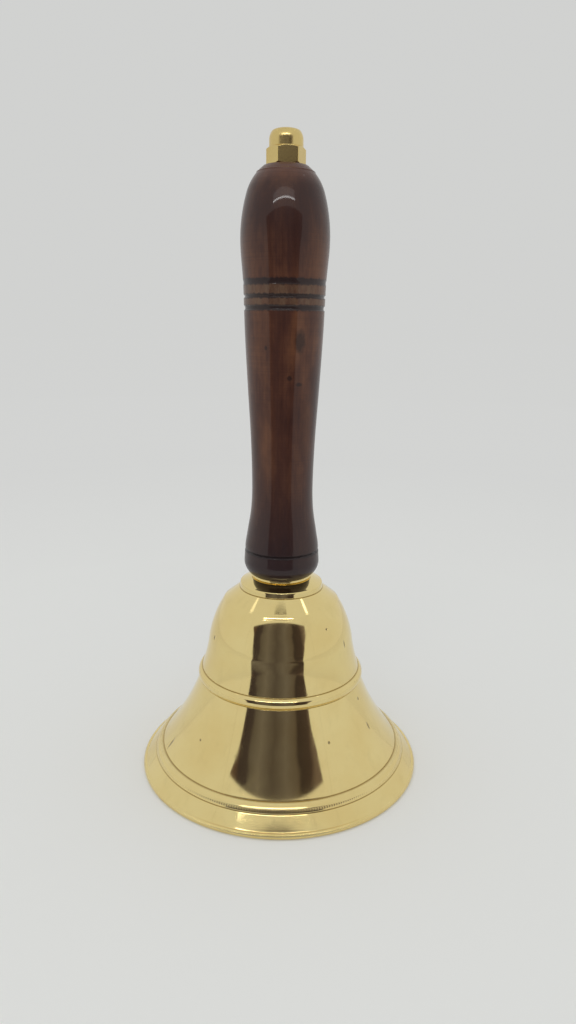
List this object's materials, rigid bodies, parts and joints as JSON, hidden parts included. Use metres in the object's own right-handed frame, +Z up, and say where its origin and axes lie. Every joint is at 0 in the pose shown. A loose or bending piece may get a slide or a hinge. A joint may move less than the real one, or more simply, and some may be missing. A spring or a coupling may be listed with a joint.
{
  "type": "hand bell",
  "caption": "Turned brass hand bell with a flared mouth, beaded bands, a long turned wooden handle, an acorn nut and a free-swinging clapper.",
  "frame": {"origin": "centre of the mouth rim's resting plane, on the bell's axis", "axes": "+Z up along the bell's axis, from the mouth through the handle to the acorn nut; the clapper's pin lies along X at rest"},
  "size_m": [0.1022, 0.1022, 0.2189],
  "materials": {
    "polished_brass": "polished and lacquered turned brass",
    "nut_brass": "bright turned brass",
    "dark_wood": "dark reddish stain under gloss lacquer",
    "rod_steel": "zinc plated threaded steel",
    "hanger_steel": "bent steel strip",
    "clapper_brass": "plain turned brass, dulled"
  },
  "bodies": {
    "bell": {"bell_shell": "polished_brass", "handle_collar": "polished_brass", "handle": "dark_wood", "acorn_nut": "nut_brass", "tie_rod": "rod_steel", "crown_washer": "rod_steel", "clamp_nut": "rod_steel", "swivel_nut": "rod_steel"},
    "hanger": {"clapper_hanger": "hanger_steel", "hanger_pin": "hanger_steel"},
    "clapper": {"clapper_stem": "hanger_steel", "clapper_ball": "clapper_brass", "ball_lock_nut": "rod_steel"}
  },
  "joints": [
    {"name": "clapper_swivel", "type": "hinge", "parent": "bell", "child": "hanger", "pos_m": [0, 0, 0.0588], "axis": [0, 0, 1], "continuous": true},
    {"name": "clapper_swing", "type": "hinge", "parent": "hanger", "child": "clapper", "pos_m": [0, 0, 0.0488], "axis": [1, 0, 0], "range_deg": [-37, 37]}
  ]
}
